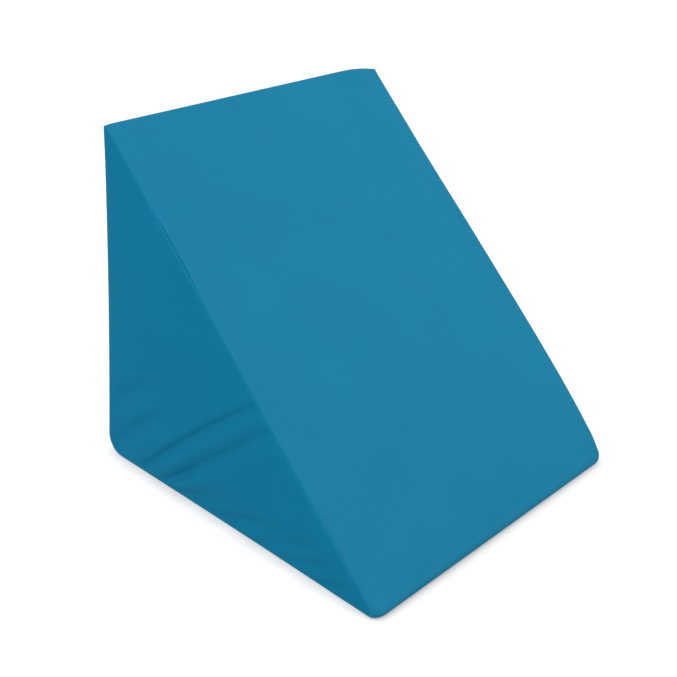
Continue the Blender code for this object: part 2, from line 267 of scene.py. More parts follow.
# %% Seam rolls
MM = 0.001
SeamRoll = namedtuple("SeamRoll", "share radius angle groove")  # share of the edge, mm, degrees, mm
SEAM_ROLLS = {
    "slope": (
        SeamRoll(0.00, 6.5, 50, 0.10),
        SeamRoll(0.10, 9.0, 52, 0.10),
        SeamRoll(0.30, 7.0, 51, 0.10),
        SeamRoll(0.46, 5.5, 50, 0.10),
        SeamRoll(0.58, 3.2, 42, 0.30),
        SeamRoll(0.64, 3.2, 30, 0.40),
        SeamRoll(0.70, 3.4, 24, 1.80),
        SeamRoll(0.79, 3.4, 24, 1.80),
        SeamRoll(0.84, 2.6, 34, 0.50),
        SeamRoll(0.93, 2.3, 34, 1.00),
        SeamRoll(0.98, 2.2, 34, 1.00),
        SeamRoll(1.00, 1.8, 45, 0.20),
    ),
    "back": (
        SeamRoll(0.00, 5.0, 50, 0.25),
        SeamRoll(0.50, 4.0, 48, 0.25),
        SeamRoll(0.90, 3.0, 46, 0.25),
        SeamRoll(1.00, 1.8, 45, 0.20),
    ),
    "base": (
        SeamRoll(0.00, 4.0, 50, 0.25),
        SeamRoll(0.25, 2.5, 50, 0.25),
        SeamRoll(0.85, 2.5, 50, 0.25),
        SeamRoll(1.00, 4.5, 50, 0.10),
    ),
}
GROOVE_WIDTH = 1.2 * MM
BLEND_SOFTNESS = 0.5 * MM
radii = [roll.radius for rolls in SEAM_ROLLS.values() for roll in rolls]
print("seam rolls from", min(radii), "to", max(radii), "mm")


def seam_roll(sharp):
    """The roll's radius, the seam's angle on it and the groove's depth nearest to flat points."""
    distances, shares = edge_distances(sharp), edge_shares(sharp)
    weights = {edge: 1 / (distances[edge] + BLEND_SOFTNESS) ** 2 for edge in SEAM_ROLLS}
    total = sum(weights.values())
    blended = []
    for index, unit in ((1, MM), (2, math.radians(1)), (3, MM)):
        value = 0
        for edge, rolls in SEAM_ROLLS.items():
            given = np.interp(shares[edge], [roll.share for roll in rolls], [roll[index] for roll in rolls])
            value = value + weights[edge] * given
        blended.append(value / total * unit)
    return blended


def on_roll(turned, from_seam, radius, groove, under=0.0):
    """Where the cover lies on its roll, as (depth below the panel, inwards from the side's plane)."""
    level = radius - groove * np.exp(-from_seam / GROOVE_WIDTH) - under
    return radius - level * np.cos(turned), radius - level * np.sin(turned)


# %% [markdown]
# ## A triangle of even squares
#
# Both kinds of piece need a triangle that is divided finely and evenly. A fan of triangles from the middle
# would leave a spiky centre, so we take a square grid, stretch it over the wedge's section and cut it along
# its diagonal with bisect_plane. The grid has as many steps up as across, so the cut runs exactly from
# corner to corner.

# %% Triangle patch
SNAP = 1e-6


def spaced_lines(rim_lines, steps):
    """Shares from 0 to 1 for a grid's lines: a few close rows at each rim, and even steps between them."""
    first, last = rim_lines[-1], 1 - rim_lines[-1]
    middle = np.linspace(first, last, steps - 2 * len(rim_lines) + 3)
    return np.concatenate([rim_lines, middle[1:-1], 1 - np.array(rim_lines[::-1])])


def triangle_patch(bm, x, lines):
    """Adds half a grid, the triangle under the slope, at X = x. Its lines lie at these shares of an edge."""
    steps = len(lines) - 1
    before = set(bm.verts)
    bmesh.ops.create_grid(bm, x_segments=steps, y_segments=steps, size=0.5)
    new = [vert for vert in bm.verts if vert not in before]
    for vert in new:
        across, up = lines[round((vert.co.x + 0.5) * steps)], lines[round((vert.co.y + 0.5) * steps)]
        vert.co = (x, TOE + (BACK - TOE) * across, HEIGHT * up)
    faces = {face: None for vert in new for face in vert.link_faces}
    edges = {edge: None for vert in new for edge in vert.link_edges}
    grid, slope_normal = [*new, *edges, *faces], (0.0, *OUT["slope"])
    bmesh.ops.bisect_plane(
        bm, geom=grid, dist=SNAP, plane_co=(x, TOE, 0.0), plane_no=slope_normal, clear_outer=True
    )


def open_edges(bm):
    """The edges that have a face on one side only."""
    return [edge for edge in bm.edges if len(edge.link_faces) == 1]


# %% [markdown]
# ## The wrap cushion, laid out flat
#
# Two such triangles are the cushion's ends. bridge_loops joins their rims with long strips, and
# subdivide_edges cuts the strips into columns. X only counts the columns for now, from -1 at the left seam
# to 1 at the right one. Near the seams the columns come closer together, because the cover turns in there.

# %% Wrap cushion layout
END_LINES = spaced_lines([0.0, 0.006], 84)
SEAM_COLUMNS = [0.0, 0.7, 1.5, 2.5, 4.0, 6.0, 9.0, 13.0, 18.0, 25.0]  # millimetres in from a seam
MIDDLE_COLUMNS = 16
half_width = WIDTH / 2
near_seam = [1 - column * MM / half_width for column in SEAM_COLUMNS]
middle = list(np.linspace(near_seam[-1], -near_seam[-1], MIDDLE_COLUMNS + 1))[1:-1]
COLUMNS = np.array([-share for share in near_seam] + middle[::-1] + near_seam[::-1])

layout = bmesh.new()
triangle_patch(layout, -1.0, END_LINES)
triangle_patch(layout, 1.0, END_LINES)
bridged = bmesh.ops.bridge_loops(layout, edges=open_edges(layout))
strips = [edge for edge in bridged["edges"] if abs(edge.verts[0].co.x - edge.verts[1].co.x) > 1]
bmesh.ops.subdivide_edges(layout, edges=strips, cuts=len(COLUMNS) - 2, use_grid_fill=True)
for vert in layout.verts:
    vert.co.x = COLUMNS[round((vert.co.x + 1) / 2 * (len(COLUMNS) - 1))]
bmesh.ops.recalc_face_normals(layout, faces=layout.faces)
print("wrap cushion layout:", len(layout.verts), "points,", len(layout.faces), "faces")


# %% [markdown]
# ## From layout to pillow
#
# A point of the layout knows how far across it lies and where on the section. From that we work out its
# real place. The wrap panel turns down towards each side seam on its roll, and the side panel goes on round
# from there. The cushion's own ends lie a little inside the side panels.

# %% Place the wrap cushion
SLOPE_CROWN, BACK_CROWN = 0.004, 0.005
END_INSET = 0.0023
AT_END = 1 - 1e-6  # what lies further across than this is on an end


def coordinates(mesh):
    """The places of a mesh's points, as rows of three numbers."""
    values = np.empty(len(mesh.vertices) * 3)
    mesh.vertices.foreach_get("co", values)
    return values.reshape(-1, 3)


def set_coordinates(mesh, points):
    """Moves a mesh's points to these places."""
    mesh.vertices.foreach_set("co", np.asarray(points, float).ravel())
    mesh.update()


def end_places(sharp, side, under=0.0):
    """Places (y, z) and reach of an end of the pillow, or of a layer this far under its cover."""
    rim = rim_distance(sharp)
    radius, angle, groove = seam_roll(sharp)
    room = radius * (math.pi / 2 - angle)
    turned = np.minimum(angle + rim / radius, math.pi / 2)
    depth, inwards = on_roll(turned, rim, radius, groove, under)
    depth = np.where(rim < room, depth - rim, (radius - room) * np.exp(-(rim - room) / SEAM_REACH))
    flat = rounded(inset(sharp, depth))
    across = np.full(len(flat), float(side))
    return bent_section(flat, across), seam_reach(flat, across) + end_crown(sharp) - inwards


def wrap_places(laid):
    """The real places of layout points (across, y, z), before the cover swells."""
    across, sharp = laid[:, 0], laid[:, 1:]
    radius, angle, groove = seam_roll(sharp)
    near_end = (1 - np.abs(across)) * half_width
    arc = radius * angle
    turned = angle * np.maximum(1 - near_end / arc, 0)
    depth, inwards = on_roll(turned, near_end, radius, groove * (near_end < arc))
    flat = rounded(inset(sharp, depth))
    reach = seam_reach(flat, across)
    beyond = (reach - radius) * (half_width - near_end) / (half_width - arc)
    x = np.sign(across) * np.where(near_end < arc, reach - inwards, beyond)
    places = np.column_stack([x, bent_section(flat, across)])
    for side in (-1, 1):
        inner = (across * side > AT_END) & (rim_distance(sharp) > SNAP)
        section, reach = end_places(sharp[inner], side, END_INSET)
        places[inner] = np.column_stack([side * reach, section])
    return places


flat_mesh = bpy.data.meshes.new("wrap_layout")
layout.to_mesh(flat_mesh)
laid = coordinates(flat_mesh)
start = wrap_places(laid)
print("start shape", [round(v, 4) for v in np.ptp(start, axis=0)])

# %% [markdown]
# ## Where the solids stand
#
# The solid model was moved so that the middle of its underside is the origin. We find that move again from
# the frame itself: the toe of the wrap cushion gives it in Y, and the toe ends of the two side panels give
# it in X.


# %% Find the move
def toe_end(node, side):
    """The X of the seam at one end of the toe, read from a side panel."""
    points = [vert.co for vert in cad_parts[node].data.vertices]
    foremost = min(point.y for point in points) + 0.05 * MM
    return side * max(side * point.x for point in points if point.y < foremost)


left_seam = toe_end("side_panel_left", -1)
right_seam = toe_end("side_panel_right", 1)
MOVE = np.array([(left_seam + right_seam) / 2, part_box("wrap_cushion")[0].y - start[:, 1].min(), 0])
start += MOVE
print("moved by", np.round(MOVE / MM, 2), "mm; seams", round(right_seam - left_seam, 4), "m apart")

# %% [markdown]
# ## Let the cover swell
#
# Under its cover, foam bulges between the seams. We could paint that bulge with a formula, but Blender's
# Cloth does it as the real cover does: the seams, the ridge, the toe, the heel and the base are pinned, and
# a pressure of 4 blows the free cloth of the slope and the back outwards for twenty frames. Firm foam
# hardly gives, so we then scale the swell down, until no point has moved further than the crown of its
# panel.

# %% Cloth under pressure
FRAMES = 20
PRESSURE = 4.0
PINNED_BESIDE_SEAM = 0.005
PINNED_BESIDE_EDGE = 0.030


def inflated(places, pinned):
    """Runs Cloth on a copy of the layout at these places and returns how far each point moved."""
    mesh = flat_mesh.copy()
    set_coordinates(mesh, places)
    cover = bpy.data.objects.new("swelling_cover", mesh)
    scene.collection.objects.link(cover)
    group = cover.vertex_groups.new(name="pinned")
    group.add([int(i) for i in np.nonzero(pinned)[0]], 1.0, "REPLACE")
    modifier = cover.modifiers.new("Swell", "CLOTH")
    cloth = modifier.settings
    cloth.quality = 5
    cloth.mass = 0.3
    cloth.tension_stiffness = cloth.compression_stiffness = 15
    cloth.shear_stiffness = 5
    cloth.bending_stiffness = 0.5
    cloth.vertex_group_mass = group.name
    cloth.use_pressure = True
    cloth.uniform_pressure_force = PRESSURE
    cloth.effector_weights.gravity = 0
    modifier.collision_settings.use_collision = False
    modifier.point_cache.frame_start, modifier.point_cache.frame_end = 1, FRAMES
    for number in range(1, FRAMES + 1):
        scene.frame_set(number)
    swollen = cover.evaluated_get(bpy.context.evaluated_depsgraph_get()).to_mesh()
    moved = coordinates(swollen) - places
    scene.frame_set(1)
    bpy.data.objects.remove(cover)
    return moved


def panel_of(sharp):
    """Which edge of the section each layout point belongs to, as the index of the nearest one."""
    return np.argmin(np.column_stack(list(edge_distances(sharp).values())), axis=1)


sharp = laid[:, 1:]
shares = edge_shares(sharp)
panel = panel_of(sharp)
SLOPE_PANEL, BACK_PANEL, BASE_PANEL = range(3)
near_end = (1 - np.abs(laid[:, 0])) * half_width
along = np.choose(panel, [shares["slope"] * SLOPE_LENGTH, shares["back"] * HEIGHT, shares["base"] * DEPTH])
length = np.choose(panel, [SLOPE_LENGTH, HEIGHT, DEPTH])
from_edge = np.minimum(along, length - along)
pinned = (near_end < PINNED_BESIDE_SEAM) | (from_edge < PINNED_BESIDE_EDGE) | (panel == BASE_PANEL)
swelling = np.zeros_like(start)
swelling = inflated(start, pinned)
for index, crown in ((SLOPE_PANEL, SLOPE_CROWN), (BACK_PANEL, BACK_CROWN)):
    here = panel == index
    furthest = np.linalg.norm(swelling[here], axis=1).max()
    print("panel", index, "swelled by", round(furthest / MM, 2), "mm, kept to", round(crown / MM, 1))
    swelling[here] *= min(crown / max(furthest, 1e-9), 1.0)


# %% [markdown]
# ## Creases at the ends
#
# Each end is closed by a triangle of cloth. It is slacker than the wrap panel, so it creases where the foam
# beneath it is squeezed. Two long creases run up from the base near the heel towards the slope, and the
# second one turns into a soft fold on its way. Softer folds lie behind them, and short ones rise from the
# base seam. A simulation would put such creases anywhere, so we place them one by one, where they show:
# each is a line with a steep upper wall, a gentle lower one and a lip below it.

# %% Helpers for uneven cloth
def uneven(along, wave, seed):
    """A wave whose length and strength wander, from -1 to 1, for cloth that no machine laid out."""

    def slower(times, shift):
        return np.sin(2 * np.pi * along / (times * wave) + shift)

    drift = 1.9 * slower(5.3, seed) + 1.1 * slower(2.7, 3 * seed)
    strength = 0.55 + 0.45 * slower(7.1, 5 * seed)
    return np.sin(2 * np.pi * along / wave + drift) * strength


def soft_step(value, start, end):
    """Rises smoothly from 0 at start to 1 at end."""
    share = np.clip((value - start) / (end - start), 0, 1)
    return share * share * (3 - 2 * share)


# %% Creases
Crease = namedtuple("Crease", "start end bow above below depth lip")
LEFT_CREASES = {
    "heel crease": Crease((0.168, 0.004), (-0.038, 0.197), 0.005, 0.0052, 0.0095, 0.0062, 0.0034),
    "second crease": Crease((0.134, 0.003), (0.060, 0.062), -0.001, 0.0035, 0.0080, 0.0044, 0.0030),
    "second fold": Crease((0.098, 0.032), (-0.062, 0.171), -0.003, 0.0085, 0.0110, 0.0050, 0.0026),
    "back fold": Crease((0.223, 0.077), (0.139, 0.151), 0.003, 0.0120, 0.0160, 0.0054, 0.0018),
    "heel fold": Crease((0.219, 0.018), (0.127, 0.106), 0.003, 0.0110, 0.0140, 0.0054, 0.0018),
    "base tuck": Crease((0.087, 0.005), (0.017, 0.034), 0.002, 0.0105, 0.0120, 0.0046, 0.0010),
    "front fold": Crease((0.026, 0.003), (-0.086, 0.045), 0.003, 0.0105, 0.0120, 0.0050, 0.0012),
    "second front fold": Crease((-0.046, 0.003), (-0.140, 0.050), 0.002, 0.0095, 0.0105, 0.0045, 0.0010),
    "toe fold": Crease((-0.086, 0.003), (-0.182, 0.040), 0.002, 0.0085, 0.0095, 0.0042, 0.0008),
    "toe tuck": Crease((-0.150, 0.002), (-0.205, 0.022), 0.001, 0.0070, 0.0075, 0.0034, 0.0005),
}
RIGHT_CREASES = {
    "heel crease": Crease((0.150, 0.010), (-0.010, 0.150), 0.005, 0.0060, 0.0100, 0.0028, 0.0016),
    "back fold": Crease((0.222, 0.110), (0.130, 0.190), 0.003, 0.0100, 0.0150, 0.0022, 0.0008),
    "front fold": Crease((0.040, 0.010), (-0.070, 0.080), -0.003, 0.0070, 0.0110, 0.0020, 0.0012),
}
LIP_SHIFT, LIP_WIDTH = 1.7, 1.4  # in widths of the lower wall
CREASE_TAPER = 0.08  # the share of its arch that is left off at each end, so no crease starts from nothing
CREASE_FADE = 0.010
END_UNEVENNESS, END_WAVE_ALONG, END_WAVE_UP = 0.0006, 0.13, 0.17
print(len(LEFT_CREASES), "creases on the left,", len(RIGHT_CREASES), "on the right")


def crease_relief(flat, creases):
    """How far the creases push a side panel out (or in, if negative) at flat points (y, z)."""
    total = np.zeros(len(flat))
    for crease in creases.values():
        start, run = np.array(crease.start), np.subtract(crease.end, crease.start)
        size = np.hypot(*run)
        above = np.array([-run[1], run[0]]) / size
        above *= np.sign(above[1])
        share = (flat - start) @ run / size**2
        clamped = np.clip(share, 0, 1)
        off = (flat - start - clamped[:, None] * run) @ above - crease.bow * np.sin(np.pi * clamped)
        past_end = np.abs(share - clamped) * size
        tapered = np.sin(np.pi * (CREASE_TAPER + (1 - 2 * CREASE_TAPER) * clamped))
        strength = np.sqrt(tapered) * np.exp(-past_end / crease.below)
        width = np.where(off > 0, crease.above, crease.below)
        lip = np.exp(-(((off + LIP_SHIFT * crease.below) / (LIP_WIDTH * crease.below)) ** 2))
        total += strength * (crease.lip * lip - crease.depth * np.exp(-((off / width) ** 2)))
    return total


def end_relief(sharp, side):
    """All that moves an end out or in at flat points: its creases and the slight unevenness of the foam."""
    creases = LEFT_CREASES if side < 0 else RIGHT_CREASES
    along = uneven(sharp[:, 0], END_WAVE_ALONG, seed=0.4 + side)
    broad = along * uneven(sharp[:, 1], END_WAVE_UP, seed=1.9)
    relief = crease_relief(sharp, creases) + END_UNEVENNESS * broad
    return relief * soft_step(rim_distance(sharp), 0, CREASE_FADE)


# %% [markdown]
# ## One subdivision, then the seams
#
# The simulated cage is coarse, so we subdivide it once. If we subdivided its finished shape, the sharp
# ridge would melt. Instead the flat layout is subdivided, with the swell carried along as a layer of
# vectors, and the places are worked out again for all the new points. The small things come last: uneven
# puckers where a seam's thread pulls at the cloth, a shallow hollow low on the slope, and the slight
# unevenness of hand-cut foam.

# %% Surface details of the wrap panel
PUCKER_DEPTH, PUCKER_FADE, PUCKER_WAVE = 0.00028, 0.012, 0.019
PUCKER_SEEDS = {-1: 4.1, 1: 1.3}
UNEVENNESS, WAVE_ALONG, WAVE_ACROSS, CALM_BESIDE_SEAM = 0.0004, 0.19, 0.23, 0.03
DIMPLE_DEPTH, DIMPLE_RADIUS = 0.0025, 0.045
DIMPLE_ACROSS, DIMPLE_UP = -0.066, 0.173


def wrap_details(laid):
    """How far the finished wrap panel lies out from its swollen form, at layout points."""
    across, sharp = laid[:, 0], laid[:, 1:]
    shares = edge_shares(sharp)
    panel = panel_of(sharp)
    along = np.choose(
        panel, [shares["slope"] * SLOPE_LENGTH, 1 + shares["back"] * HEIGHT, 2 + shares["base"] * DEPTH]
    )
    near_end = (1 - np.abs(across)) * half_width
    seeds = np.where(across > 0, PUCKER_SEEDS[1], PUCKER_SEEDS[-1])
    beside_seam = near_end * np.exp(-near_end / PUCKER_FADE) * math.e / PUCKER_FADE  # 1 at its strongest
    puckers = uneven(along, PUCKER_WAVE, seeds) * beside_seam
    broad = uneven(along, WAVE_ALONG, seed=0.7) * uneven(across * half_width, WAVE_ACROSS, seed=2.2)
    broad *= soft_step(near_end, 0, CALM_BESIDE_SEAM)
    off = np.hypot(across * half_width - DIMPLE_ACROSS, shares["slope"] * SLOPE_LENGTH - DIMPLE_UP)
    dimple = np.where(panel == SLOPE_PANEL, DIMPLE_DEPTH * np.exp(-((off / DIMPLE_RADIUS) ** 2)), 0)
    calm = np.where(panel == BASE_PANEL, 0, 1) * (np.abs(across) < AT_END)
    return calm * (PUCKER_DEPTH * puckers + UNEVENNESS * broad - dimple)


# %% [markdown]
# ## How the weave lies on the cloth
#
# The weave should follow each cut piece, not the room, so every face gets UV coordinates, here in real
# metres. The wrap panel is a strip: U runs across the pillow and V runs along its section. A side panel is
# flat cloth, so its own Y and Z will do. A second layer keeps how far each point lies from the nearest
# seam, for the worn cloth beside it and for the painted highlight along the seam's roll.

# %% Cloth coordinates
PANEL_SPACING = 1.5  # metres of V from one panel's start to the next, so that no two lie on the same cloth


def lay_cloth(mesh, laid):
    """Gives a mesh UV coordinates in metres and the distance of each point from its seams, in metres."""
    across, sharp = laid[:, 0], laid[:, 1:]
    distances, shares = edge_distances(sharp), edge_shares(sharp)
    at_end = np.abs(across) > AT_END
    strip = np.column_stack([shares["slope"] * SLOPE_LENGTH, shares["back"] * HEIGHT, shares["base"] * DEPTH])
    corners = np.empty(len(mesh.loops), int)
    mesh.loops.foreach_get("vertex_index", corners)
    starts, counts = np.empty(len(mesh.polygons), int), np.empty(len(mesh.polygons), int)
    mesh.polygons.foreach_get("loop_start", starts)
    mesh.polygons.foreach_get("loop_total", counts)
    face_of = np.repeat(np.arange(len(starts)), counts)
    on_end = np.logical_and.reduceat(at_end[corners], starts)
    far = np.column_stack([np.add.reduceat(distances[edge][corners], starts) for edge in distances])
    panel = np.argmin(far, axis=1)[face_of]
    wrap_uv = np.column_stack([across[corners] * half_width, strip[corners, panel] + panel * PANEL_SPACING])
    uv = np.where(on_end[face_of][:, None], sharp[corners], wrap_uv)
    mesh.uv_layers.new(name="cloth").data.foreach_set("uv", uv.astype(np.float32).ravel())
    from_seam = np.where(at_end, rim_distance(sharp), (1 - np.abs(across)) * half_width)
    mesh.attributes.new("from_seam", "FLOAT", "POINT").data.foreach_set("value", from_seam.astype(np.float32))


# %% Wrap cushion
layout.verts.ensure_lookup_table()
swell_layer = layout.verts.layers.float_vector.new("swell")
for vert, moved in zip(layout.verts, swelling):
    vert[swell_layer] = Vector(moved)
bmesh.ops.subdivide_edges(layout, edges=layout.edges, cuts=1, use_grid_fill=True)
wrap_mesh = bpy.data.meshes.new("wrap_panel_with_filling")
layout.to_mesh(wrap_mesh)
layout.free()
laid = coordinates(wrap_mesh)
swelling = np.empty(len(laid) * 3)
wrap_mesh.attributes["swell"].data.foreach_get("vector", swelling)
wrap_mesh.attributes.remove(wrap_mesh.attributes["swell"])
flat = rounded(laid[:, 1:])
proud = wrap_details(laid)[:, None] * outward(flat)
places = wrap_places(laid) + MOVE + swelling.reshape(-1, 3)
places[:, 1:] += proud
for side in (-1, 1):
    end = laid[:, 0] * side > AT_END
    places[end, 0] += side * end_relief(laid[end, 1:], side)
places[:, 2] = np.maximum(places[:, 2], 0)
set_coordinates(wrap_mesh, places)
wrap_mesh.shade_smooth()
lay_cloth(wrap_mesh, laid)
wrap = bpy.data.objects.new("wrap_panel_with_filling", wrap_mesh)
scene.collection.objects.link(wrap)
print("wrap cushion:", len(wrap_mesh.vertices), "points,", len(wrap_mesh.polygons), "faces")

# %% [markdown]
# ## The side panels
#
# A side panel is a thin sheet, so we place the points of one fine triangle and give it thickness with
# Solidify. Its rim rolls over the pillow's edge to meet the wrap panel. There the bend is tight, so the
# triangle gets extra rows: close lines at the back and the base, and cuts with bisect_plane beside the
# slope.

# %% Side panel
PANEL_LINES = spaced_lines([0.0, 0.0004, 0.0009, 0.0016, 0.0026, 0.0039, 0.0056, 0.0077, 0.0102], 212)
SLOPE_ROWS = [0.2, 0.45, 0.8, 1.2, 1.75, 2.5]  # millimetres beside the slope
SHEET_THICKNESS = 0.0015


def side_panel(name, side):
    """A side panel as a thin sheet: a finely divided triangle, put in place point by point."""
    bm = bmesh.new()
    triangle_patch(bm, 0.0, PANEL_LINES)
    for row in SLOPE_ROWS:
        inner = Vector((0.0, *(TIPS["toe"] - OUT["slope"] * row * MM)))
        whole = [*bm.verts, *bm.edges, *bm.faces]
        bmesh.ops.bisect_plane(bm, geom=whole, dist=SNAP, plane_co=inner, plane_no=(0.0, *OUT["slope"]))
    mesh = bpy.data.meshes.new(name)
    bm.to_mesh(mesh)
    bm.free()
    sharp = coordinates(mesh)[:, 1:]
    section, reach = end_places(sharp, side)
    reach += end_relief(sharp, side)
    set_coordinates(mesh, np.column_stack([side * reach, section]) + MOVE)
    if sum(face.normal.x for face in mesh.polygons) * side < 0:
        mesh.flip_normals()
    mesh.shade_smooth()
    lay_cloth(mesh, np.column_stack([np.full(len(sharp), float(side)), sharp]))
    sheet = bpy.data.objects.new(name, mesh)
    scene.collection.objects.link(sheet)
    thickness = sheet.modifiers.new("Cloth thickness", "SOLIDIFY")
    thickness.thickness = SHEET_THICKNESS
    thickness.offset = -1.0
    print(name, len(mesh.polygons), "faces")
    return sheet


left_side = side_panel("left_side_panel", -1)
right_side = side_panel("right_side_panel", 1)

# %% [markdown]
# ## The cloth's finish
#
# The cover is a smooth, closely woven cloth with a thin matt coating, in a deep teal. The side panels get
# their own copy of that colour, a shade darker and about half as red: painted shade for the ends. From a
# step away it is plain, and from close by it isn't: threads half a millimetre apart cross over and under
# each other, with painted shade in the gaps between them and painted light on their tops, some are a little
# thicker, and the dye took unevenly. Handling has polished the cloth, and along its seams it is smoother and
# paler, the paleness partly from wear and partly a painted highlight on the seam's roll. An image of cloth
# would blur up close, so Wave textures make the threads, a Map Range reads the distance from the seam, and
# noises do the rest.
# First come three helpers for the nodes.

# %% Node helpers
THREAD_PITCH = 0.0005
WAVE_SCALE = 2 * math.pi / (20 * THREAD_PITCH)  # a Wave texture repeats every 2 pi / 20 at scale 1
THREAD_WANDER, WANDER_SCALE = 0.6, 0.05
NOISE_FROM, NOISE_TO = 0.3, 0.7  # nearly all of a Noise texture lies between these
Patches = namedtuple("Patches", "scale low high stretch")


def math_node(tree, operation, *values):
    """A Math node whose inputs are other nodes' outputs or plain numbers. Returns its output."""
    node = tree.nodes.new("ShaderNodeMath")
    node.operation = operation
    for socket, value in zip(node.inputs, values):
        if isinstance(value, (int, float)):
            socket.default_value = value
        else:
            tree.links.new(value, socket)
    return node.outputs["Value"]


def noise(tree, place, patches):
    """A noise over the cloth, brought to run from low to high."""
    stretched = tree.nodes.new("ShaderNodeMapping")
    stretched.inputs["Scale"].default_value = patches.stretch
    texture = tree.nodes.new("ShaderNodeTexNoise")
    texture.inputs["Scale"].default_value = patches.scale
    texture.inputs["Detail"].default_value = 3
    spread = tree.nodes.new("ShaderNodeMapRange")
    spread.inputs["From Min"].default_value = NOISE_FROM
    spread.inputs["From Max"].default_value = NOISE_TO
    spread.inputs["To Min"].default_value = patches.low
    spread.inputs["To Max"].default_value = patches.high
    tree.links.new(place, stretched.inputs["Vector"])
    tree.links.new(stretched.outputs["Vector"], texture.inputs["Vector"])
    tree.links.new(texture.outputs["Fac"], spread.inputs["Value"])
    return spread.outputs["Result"]


def threads(tree, place, direction):
    """Parallel threads as a wave from 0 to 1 that repeats in this direction of the cloth."""
    wave = tree.nodes.new("ShaderNodeTexWave")
    wave.bands_direction = direction
    wave.inputs["Scale"].default_value = WAVE_SCALE
    wave.inputs["Distortion"].default_value = THREAD_WANDER
    wave.inputs["Detail Scale"].default_value = WANDER_SCALE
    tree.links.new(place, wave.inputs["Vector"])
    return wave.outputs["Fac"]


print("threads", THREAD_PITCH / MM, "mm apart")

# %% Cloth material
# the side panels' copy of the colour is a shade darker and about half as red: painted shade for the ends
WRAP_COLOUR, SIDE_COLOUR_PAINTED_SHADE = (0.0175, 0.234, 0.405), (0.0080, 0.218, 0.394)
COATING_TINT = (0.15, 0.75, 1.0)
COATING_GLOSS, SHEEN, SHEEN_ROUGHNESS = 0.02, 0.01, 0.4
GAP_PAINTED_SHADE, THREAD_TOP_PAINTED_LIGHT = 0.985, 0.06  # painted shade between the threads, and how much painted light lifts their tops
DYE = Patches(9, 0.975, 1.025, (1, 1, 1))
CROSS_THREADS = Patches(90, 0.985, 1.015, (0.06, 4, 1))  # stretched along U
LONG_THREADS = Patches(90, 0.985, 1.015, (4, 0.06, 1))  # stretched along V
HANDLED_ROUGHNESS = Patches(14, 0.53, 0.63, (1, 1, 1))
# within 4 mm of a seam the cloth is smoother from wear, and paler, partly from wear and partly as a painted
# highlight on the seam's roll
SEAM_WEAR_AND_HIGHLIGHT, PALER_BY_WEAR_AND_HIGHLIGHT, WORN_SMOOTHER = 0.004, 0.05, -0.08
BUMP_STRENGTH, BUMP_HEIGHT = 0.35, 0.00008


def seam_wear_and_highlight(tree):
    """How worn the cloth is, and how strong the painted highlight on the seam's roll: 1 at a seam, 0 from 4
    mm on.
    """
    seam = tree.nodes.new("ShaderNodeAttribute")
    seam.attribute_name = "from_seam"
    wear_and_highlight = tree.nodes.new("ShaderNodeMapRange")
    wear_and_highlight.interpolation_type = "SMOOTHSTEP"
    wear_and_highlight.inputs["From Max"].default_value = SEAM_WEAR_AND_HIGHLIGHT
    wear_and_highlight.inputs["To Min"].default_value = 1.0
    wear_and_highlight.inputs["To Max"].default_value = 0.0
    tree.links.new(seam.outputs["Fac"], wear_and_highlight.inputs["Value"])
    return wear_and_highlight.outputs["Result"]


def cover_cloth(name, colour):
    """The coated cover cloth in one colour, with its weave, painted shade between threads, dye, worn seams
    with a painted highlight, and bump.
    """
    material = bpy.data.materials.new(name)
    material.use_nodes = True
    tree = material.node_tree
    shader = tree.nodes["Principled BSDF"]
    cloth = tree.nodes.new("ShaderNodeUVMap")
    cloth.uv_map = "cloth"
    place = cloth.outputs["UV"]
    wear_and_highlight = seam_wear_and_highlight(tree)

    weave = math_node(tree, "MULTIPLY", threads(tree, place, "X"), threads(tree, place, "Y"))
    # painted light on the thread tops and painted shade in the gaps between them, following the weave's
    # height
    shade = math_node(tree, "MULTIPLY_ADD", weave, THREAD_TOP_PAINTED_LIGHT, GAP_PAINTED_SHADE)
    for patches in (DYE, CROSS_THREADS, LONG_THREADS):
        shade = math_node(tree, "MULTIPLY", shade, noise(tree, place, patches))
    # paler beside the seams: wear, and a painted highlight on the seam's roll
    shade = math_node(tree, "MULTIPLY", shade, math_node(tree, "MULTIPLY_ADD", wear_and_highlight, PALER_BY_WEAR_AND_HIGHLIGHT, 1.0))
    tinted = tree.nodes.new("ShaderNodeVectorMath")
    tinted.operation = "SCALE"
    tinted.inputs[0].default_value = colour
    tree.links.new(shade, tinted.inputs["Scale"])
    tree.links.new(tinted.outputs["Vector"], shader.inputs["Base Color"])

    handled = noise(tree, place, HANDLED_ROUGHNESS)
    roughness = math_node(tree, "MULTIPLY_ADD", wear_and_highlight, WORN_SMOOTHER, handled)
    tree.links.new(roughness, shader.inputs["Roughness"])
    shader.inputs["Specular IOR Level"].default_value = COATING_GLOSS
    shader.inputs["Specular Tint"].default_value = (*COATING_TINT, 1)
    shader.inputs["Sheen Weight"].default_value = SHEEN
    shader.inputs["Sheen Roughness"].default_value = SHEEN_ROUGHNESS
    shader.inputs["Sheen Tint"].default_value = (*COATING_TINT, 1)

    bump = tree.nodes.new("ShaderNodeBump")
    bump.inputs["Strength"].default_value = BUMP_STRENGTH
    bump.inputs["Distance"].default_value = BUMP_HEIGHT
    tree.links.new(weave, bump.inputs["Height"])
    tree.links.new(bump.outputs["Normal"], shader.inputs["Normal"])
    print(name, "has", len(tree.nodes), "nodes")
    return material


wrap.data.materials.append(cover_cloth("wrap_cloth", WRAP_COLOUR))
# the side panels take the darker copy of the colour, which is painted shade
for sheet in (left_side, right_side):
    sheet.data.materials.append(cover_cloth("side_cloth", SIDE_COLOUR_PAINTED_SHADE))

